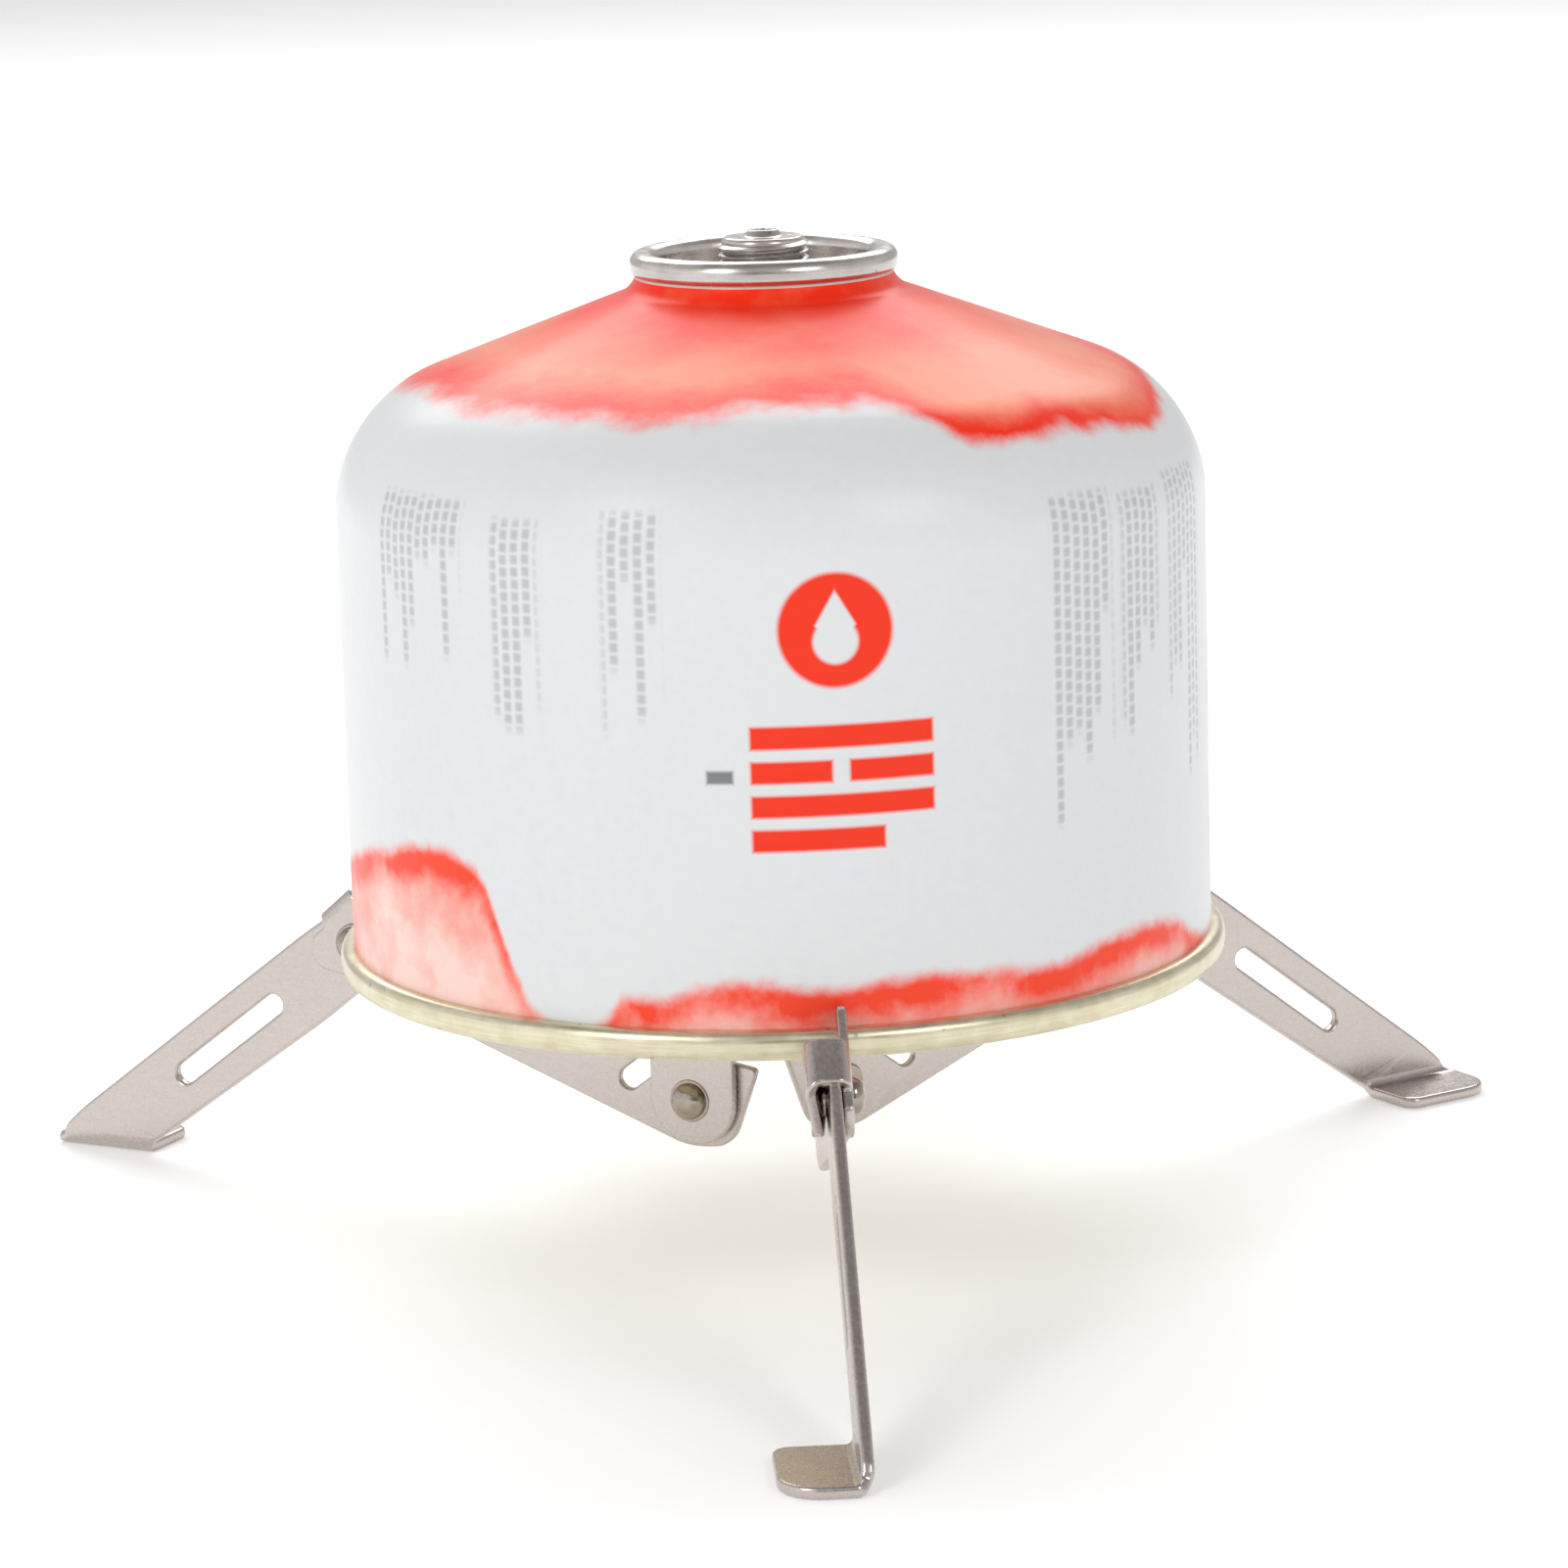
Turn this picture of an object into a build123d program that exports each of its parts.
"""Screw-valve gas canister standing in a folding three-legged stand.

Units are millimetres, +Z is up, the origin is on the canister axis at floor level.
The front leg points along -Y; the other two stand at 120 degree steps.
"""
import os
from math import asin, atan2, cos, degrees, hypot, radians, sin

from build123d import *

# ---- driving dimensions ----
rim_r = 55.0  # outer radius of the canister's bottom seam
rim_z = 34.8  # height of the seam's lower edge above the floor
body_h = 54.4  # straight side of the can above the seam, up to the shoulder
foot_reach = 54.0  # how far the feet stand out past the seam
plate_t = 1.5  # leg sheet
arm_t = 1.3  # arm sheet

# canister
seam_h = 3.67
seam_w = 3.0
seam_round = 0.9
body_inset = 1.7  # the side stands this far inside the seam
wall = 0.6
shoulder_round = 17.0
shoulder_rise = 14.24  # from the shoulder corner up to the neck
neck_r = 15.5
neck_h = 3.2
base_rise = 12.0
body_r = rim_r - body_inset
foot_r = rim_r + foot_reach
corner_z = seam_h + body_h + 11.69
neck_z = corner_z + shoulder_rise
bead_z = neck_z + 2.8  # centre of the valve cup's rolled bead
bead_r = 14.9
bead_tube = 1.5
cup_t = 0.5
cup_floor_z = bead_z - 4.0

# valve
thread_r = 5.556  # 7/16 inch thread, cut to its outside diameter
thread_top = bead_z + 2.9
boss_r = 1.95
boss_h = 0.8
bore_r = 1.25
pin_r = 1.0
pin_top = thread_top + 0.4
pin_fit = 0.05
socket_r = 4.4
seat_z = cup_floor_z + cup_t + 1.5
spring_wire = 0.25
spring_r = 1.7
spring_turns = 7

# stand: positions in a leg's own upright plane, (distance out, height from the seam)
leg_angles = (-90, 30, 150)
hub_x = 10.9
hub_y = -18.75
knee_x = rim_r + 4.8
knee_y = -2.9
knee_round = 4.9
arm_off = 3.0  # inner face of the arm sheet, measured sideways from the axis
arm_gap = 0.1  # between sheets that turn against each other
hook_gap = 0.3
leg_off = arm_off - arm_gap - plate_t
ear_t = 1.2
ear_w = 11.75
ear_round = 5.7
ear_off = arm_off + arm_t + arm_gap
hub_top = -8.2
hub_t = 1.3
hub_r = 11.0
slot_r = 1.4
slot_run = 17.5
channel_t = 1.1
channel_w = plate_t + 2.7  # room for the leg and the rivet's tail
pad_w = 10.6
pad_l = 15.0
pad_round = 5.0
bend_out = 0.9 * plate_t  # where the blade turns into the pad
shank_r = 1.5
turn_fit = 0.05
head_r = 2.35
head_h = 1.6
tail_r = 2.2
tail_t = 0.6

os.makedirs("parts", exist_ok=True)
can_plane = Plane(origin=(0, 0, rim_z), x_dir=(1, 0, 0), z_dir=(0, -1, 0))


def save(part, name):
    part.label = name
    export_step(part, f"parts/{name}.step")


def outward(angle):
    return Vector(cos(radians(angle)), sin(radians(angle)), 0)


def sideways(angle):
    return Vector(-sin(radians(angle)), cos(radians(angle)), 0)


def leg_plane(angle, off):
    """Upright plane along a leg; extruding goes towards smaller offsets."""
    origin = sideways(angle) * off + Vector(0, 0, rim_z)
    return Plane(origin=origin, x_dir=outward(angle), z_dir=-sideways(angle))


def nearest(shapes, points):
    return [shapes.sort_by_distance(p)[0] for p in points]


# ---- canister ----
def can_outline(inset):
    """Half section of the can, drawn smaller by the inset."""
    r = body_r - inset
    slope = shoulder_rise / (body_r - neck_r)
    drop = inset * hypot(1, slope)
    corner = corner_z - drop + slope * inset
    neck = neck_r - inset
    neck_foot = corner + slope * (r - neck)
    top = neck_z + neck_h
    Polygon((0, seam_h), (r, seam_h), (r, corner), (neck, neck_foot), (neck, top), (0, top), align=None)
    return (r, corner), (neck, neck_foot)


with BuildPart() as can_body:
    with BuildSketch(can_plane) as outside:
        corners = can_outline(0)
        fillet(nearest(outside.vertices(), [corners[0]]), shoulder_round)
        fillet(nearest(outside.vertices(), [corners[1]]), 3.0)
    revolve(axis=Axis.Z)
    with BuildSketch(can_plane) as inside:
        corners = can_outline(wall)
        fillet(nearest(inside.vertices(), [corners[0]]), shoulder_round - wall)
        fillet(nearest(inside.vertices(), [corners[1]]), 3.0 + wall)
    revolve(axis=Axis.Z, mode=Mode.SUBTRACT)
save(can_body.part, "can_body")

base_chord = rim_r - seam_w + 0.4
base_sphere = (base_chord**2 + base_rise**2) / (2 * base_rise)
base_foot = 2.4
with BuildPart() as base_end:
    with BuildSketch(can_plane) as seam:
        with Locations((rim_r - seam_w, 0)):
            Rectangle(seam_w, seam_h, align=(Align.MIN, Align.MIN))
        fillet(nearest(seam.vertices(), [(rim_r, 0), (rim_r, seam_h), (rim_r - seam_w, 0)]), seam_round)
    revolve(axis=Axis.Z)
    with BuildSketch(can_plane):
        with Locations((0, base_foot + base_rise - base_sphere)):
            Circle(base_sphere)
            Circle(base_sphere - wall, mode=Mode.SUBTRACT)
        with Locations((0, base_foot)):
            Rectangle(base_chord, base_rise + 5, align=(Align.MIN, Align.MIN), mode=Mode.INTERSECT)
    revolve(axis=Axis.Z)
save(base_end.part, "base_end")

# ---- valve ----
with BuildPart() as valve_cup:
    with BuildSketch(can_plane):
        with Locations((bead_r, bead_z)):
            Circle(bead_tube)
            Rectangle(2 * bead_tube, bead_tube, align=(Align.CENTER, Align.MAX))
            Circle(bead_tube - cup_t, mode=Mode.SUBTRACT)
            Rectangle(2 * (bead_tube - cup_t), 2 * bead_tube, align=(Align.CENTER, Align.MAX), mode=Mode.SUBTRACT)
        with Locations((bead_r - bead_tube, cup_floor_z)):
            Rectangle(cup_t, bead_z - cup_floor_z, align=(Align.MIN, Align.MIN))
        with Locations((socket_r - 0.7, cup_floor_z)):
            Rectangle(bead_r - bead_tube + cup_t - socket_r + 0.7, cup_t, align=(Align.MIN, Align.MIN))
    revolve(axis=Axis.Z)
save(valve_cup.part, "valve_cup")

with BuildPart() as cup_gasket:
    with BuildSketch(can_plane):
        with Locations((neck_r - wall / 2 - 0.3, neck_z + neck_h)):
            Rectangle(1.1, 0.36, align=(Align.CENTER, Align.MIN))
    revolve(axis=Axis.Z)
save(cup_gasket.part, "cup_gasket")

with BuildPart() as valve_turret:
    with BuildSketch(can_plane):
        turret_foot = cup_floor_z + cup_t
        gasket_top = seat_z + 1.2
        Polygon(
            (socket_r, turret_foot),
            (thread_r, turret_foot),
            (thread_r, thread_top - 0.5),
            (thread_r - 0.5, thread_top),
            (boss_r, thread_top),
            (boss_r, thread_top + boss_h),
            (bore_r, thread_top + boss_h),
            (bore_r, gasket_top),
            (socket_r, gasket_top),
            align=None,
        )
    revolve(axis=Axis.Z)
save(valve_turret.part, "valve_turret")

with BuildPart() as stem_gasket:
    with BuildSketch(can_plane):
        with Locations((pin_r + pin_fit, seat_z)):
            Rectangle(socket_r - pin_r - pin_fit, 1.2, align=(Align.MIN, Align.MIN))
    revolve(axis=Axis.Z)
save(stem_gasket.part, "stem_gasket")

with BuildPart() as valve_pin:
    with BuildSketch(can_plane):
        with Locations((0, seat_z - 2.0)):
            Rectangle(pin_r, pin_top - seat_z + 2.0, align=(Align.MIN, Align.MIN))
        with Locations((0, seat_z - 1.0)):
            Rectangle(2.1, 1.0, align=(Align.MIN, Align.MIN))
    revolve(axis=Axis.Z)
    fillet(valve_pin.edges().sort_by(Axis.Z)[-1], 0.3)
save(valve_pin.part, "valve_pin")

cage_floor = seat_z - 10.5
with BuildPart() as valve_housing:
    with BuildSketch(can_plane):
        Polygon(
            (0.6, cage_floor),
            (3.6, cage_floor),
            (3.6, turret_foot),
            (socket_r, turret_foot),
            (socket_r, seat_z),
            (2.5, seat_z),
            (2.5, cage_floor + 0.8),
            (0.6, cage_floor + 0.8),
            align=None,
        )
    revolve(axis=Axis.Z)
save(valve_housing.part, "valve_housing")

spring_foot = cage_floor + 0.8 + spring_wire
spring_h = seat_z - 1.0 - spring_wire - spring_foot
with BuildPart() as valve_spring:
    with BuildLine():
        coil = Helix(spring_h / spring_turns, spring_h, spring_r, center=(0, 0, rim_z + spring_foot))
    with BuildSketch(Plane(origin=coil @ 0, z_dir=coil % 0)):
        Circle(spring_wire)
    sweep(is_frenet=True)
save(valve_spring.part, "valve_spring")

# ---- stand ----
with BuildPart() as hub_plate:
    with BuildSketch(Plane.XY.offset(rim_z + hub_top - hub_t)):
        Circle(hub_r)
        for angle in leg_angles:
            with Locations(Plane(outward(angle) * (hub_x - 0.3), x_dir=outward(angle), z_dir=(0, 0, 1))):
                Rectangle(ear_w, ear_off + ear_t, align=(Align.CENTER, Align.MIN))
    extrude(amount=hub_t)
    for angle in leg_angles:
        with BuildSketch(leg_plane(angle, ear_off + ear_t)) as ear:
            with Locations((hub_x - 0.3, hub_top)):
                Rectangle(ear_w, hub_top - hub_y + ear_round, align=(Align.CENTER, Align.MAX))
            foot_y = hub_y - ear_round
            ends = [(hub_x - 0.3 - ear_w / 2, foot_y), (hub_x - 0.3 + ear_w / 2, foot_y)]
            fillet(nearest(ear.vertices(), ends), ear_round)
            with Locations((hub_x, hub_y)):
                Circle(shank_r, mode=Mode.SUBTRACT)
        extrude(amount=ear_t)
    for angle in leg_angles:
        bend = outward(angle) * hub_x + sideways(angle) * (ear_off + ear_t) + Vector(0, 0, rim_z + hub_top)
        fillet(hub_plate.edges().sort_by_distance(bend)[0], ear_t)
save(hub_plate.part, "hub_plate")


def build_rivet(name, angle, x, y, tail_off, head_off):
    """Domed rivet whose axis runs sideways through a point of the leg plane."""
    centre = outward(angle) * x + Vector(0, 0, rim_z + y)
    section = Plane(origin=centre, x_dir=sideways(angle), z_dir=outward(angle))
    cap_r = (head_r**2 + head_h**2) / (2 * head_h)
    half = asin(head_r / cap_r) / 2
    crown = head_off + head_h - cap_r + cap_r * cos(half)
    with BuildPart() as rivet:
        with BuildSketch(section):
            with BuildLine():
                ends = [(tail_off, 0), (tail_off, tail_r), (tail_off + tail_t, tail_r)]
                Polyline(*ends, (tail_off + tail_t, shank_r), (head_off, shank_r), (head_off, head_r))
                ThreePointArc((head_off, head_r), (crown, cap_r * sin(half)), (head_off + head_h, 0))
                Line((head_off + head_h, 0), (tail_off, 0))
            make_face()
        revolve(axis=Axis(centre, sideways(angle)))
    save(rivet.part, name)


def build_arm(name, angle):
    """Arm plate with its rim hook and the folded channel that the leg stops against."""
    top_x = rim_r + 5.7
    lip_x = rim_r + 10.4
    with BuildPart() as arm:
        with BuildSketch(leg_plane(angle, arm_off + arm_t)) as plate:
            Polygon(
                (hub_x - 8.9, hub_y + 4.45),
                (hub_x - 5.1, hub_y - 5.9),
                (hub_x + 1.1, hub_y - 6.55),
                (knee_x + 2.6, knee_y - 4.0),
                (knee_x + 6.6, knee_y - 3.6),
                (knee_x + 6.5, knee_y + 0.3),
                (lip_x, 0.4),
                (top_x, 4.4),
                (rim_r + 2.2, 6.6),
                (rim_r - 1.0, 6.6),
                (rim_r - 1.4, seam_h + hook_gap),
                (rim_r + hook_gap, seam_h + hook_gap),
                (rim_r + hook_gap, -hook_gap),
                (rim_r - 1.0, -hook_gap - 0.2),
                (hub_x + 1.1, hub_y + 6.1),
                align=None,
            )
            fillet(nearest(plate.vertices(), [(hub_x - 5.1, hub_y - 5.9)]), 2.6)
            fillet(nearest(plate.vertices(), [(knee_x + 6.6, knee_y - 3.6)]), 2.6)
            fillet(nearest(plate.vertices(), [(rim_r - 1.0, 6.6)]), 0.8)
            fillet(nearest(plate.vertices(), [(rim_r + 2.2, 6.6)]), 2.0)
            with Locations((hub_x, hub_y)):
                Circle(shank_r + turn_fit, mode=Mode.SUBTRACT)
            with Locations((knee_x, knee_y)):
                Circle(shank_r, mode=Mode.SUBTRACT)
            with Locations(Location((hub_x + 7.4, hub_y + 3.1, 0), (0, 0, 1), -37)):
                SlotCenterToCenter(4.6, 2 * slot_r, mode=Mode.SUBTRACT)
        extrude(amount=arm_t)
        with BuildSketch(leg_plane(angle, arm_off)):
            Polygon(
                (lip_x, 0.4),
                (top_x, 4.4),
                (top_x - 0.62 * channel_t, 4.4 - 0.78 * channel_t),
                (lip_x - 0.6, -0.2),
                align=None,
            )
        extrude(amount=channel_w)
        add(build_flap(angle, lip_x))
    save(arm.part, name)


def build_flap(angle, lip_x):
    """The channel's free side, leaning in towards the leg."""
    side = arm_off - channel_w
    with BuildPart() as flap:
        with BuildSketch(leg_plane(angle, arm_off)) as shape:
            Polygon(
                (lip_x, 0.4),
                (lip_x - 2.2, 2.27),
                (rim_r + 2.4, -hook_gap),
                (rim_r - 3.0, -hook_gap - 0.5),
                (rim_r + 2.0, knee_y - 3.2),
                (lip_x - 1.2, knee_y - 4.2),
                align=None,
            )
            fillet(nearest(shape.vertices(), [(rim_r + 2.0, knee_y - 3.2)]), 4.0)
            fillet(nearest(shape.vertices(), [(lip_x - 1.2, knee_y - 4.2)]), 1.0)
        extrude(amount=channel_w)
        cut = Plane(origin=outward(angle) * (rim_r - 6) + Vector(0, 0, rim_z), x_dir=sideways(angle), z_dir=outward(angle))
        with BuildSketch(cut):
            Polygon(
                (side, 3.0),
                (side, -0.5),
                (side + 1.2, knee_y - 4.4),
                (side + 2.1, knee_y - 4.4),
                (side + 1.0, -0.5),
                (side + 1.0, 3.0),
                align=None,
            )
        extrude(amount=20, mode=Mode.INTERSECT)
    return flap.part


def build_leg(name, angle):
    """Outer leg: tapered blade with a long slot, its lower edge turned out into a foot pad."""
    run_x = foot_r - 4.4 - (knee_x + 8.7)
    run_y = -rim_z + 5.18 - (knee_y + 0.32)
    reach = hypot(run_x, run_y)
    with BuildPart() as leg:
        with BuildSketch(leg_plane(angle, leg_off + plate_t)) as blade:
            with Locations((knee_x, knee_y)):
                Circle(knee_round)
            Polygon(
                (knee_x + 3.0, knee_y + 1.0),
                (knee_x + 8.7, knee_y + 0.32),
                (foot_r - 4.4, -rim_z + 5.18),
                (foot_r - 2.0, -rim_z + 3.0),
                (foot_r - 1.4, -rim_z),
                (foot_r - 13.5, -rim_z),
                (knee_x + 6.2, knee_y - 11.2),
                align=None,
            )
            make_hull()
            fillet(nearest(blade.vertices(), [(foot_r - 4.4, -rim_z + 5.18)]), 3.0)
            with Locations((knee_x, knee_y)):
                Circle(shank_r + turn_fit, mode=Mode.SUBTRACT)
            far = slot_run * 0.5
            middle = (knee_x + 13.8 + far * run_x / reach, knee_y - 9.5 + far * run_y / reach)
            with Locations(Location((*middle, 0), (0, 0, 1), degrees(atan2(run_y, run_x)))):
                SlotCenterToCenter(slot_run, 2 * slot_r, mode=Mode.SUBTRACT)
        extrude(amount=plate_t)
        corner = outward(angle) * (foot_r - pad_l) + sideways(angle) * (leg_off + plate_t)
        with BuildSketch(Plane(origin=corner, x_dir=outward(angle), z_dir=(0, 0, 1))) as pad:
            Rectangle(pad_l, pad_w, align=(Align.MIN, Align.MAX))
            fillet(nearest(pad.vertices(), [(pad_l, -pad_w)]), pad_round)
            fillet(nearest(pad.vertices(), [(0, -pad_w)]), 2.0)
        extrude(amount=plate_t)
        root = corner + outward(angle) * pad_l / 2
        fillet(leg.edges().sort_by_distance(root)[0], bend_out)
    save(leg.part, name)


for number, angle in enumerate(leg_angles, 1):
    build_rivet(f"hub_rivet_{number}", angle, hub_x, hub_y, arm_off - arm_gap - tail_t, ear_off + ear_t)
    build_rivet(f"knee_rivet_{number}", angle, knee_x, knee_y, leg_off - arm_gap - tail_t, arm_off + arm_t)
    build_arm(f"arm_{number}", angle)
    build_leg(f"leg_{number}", angle)
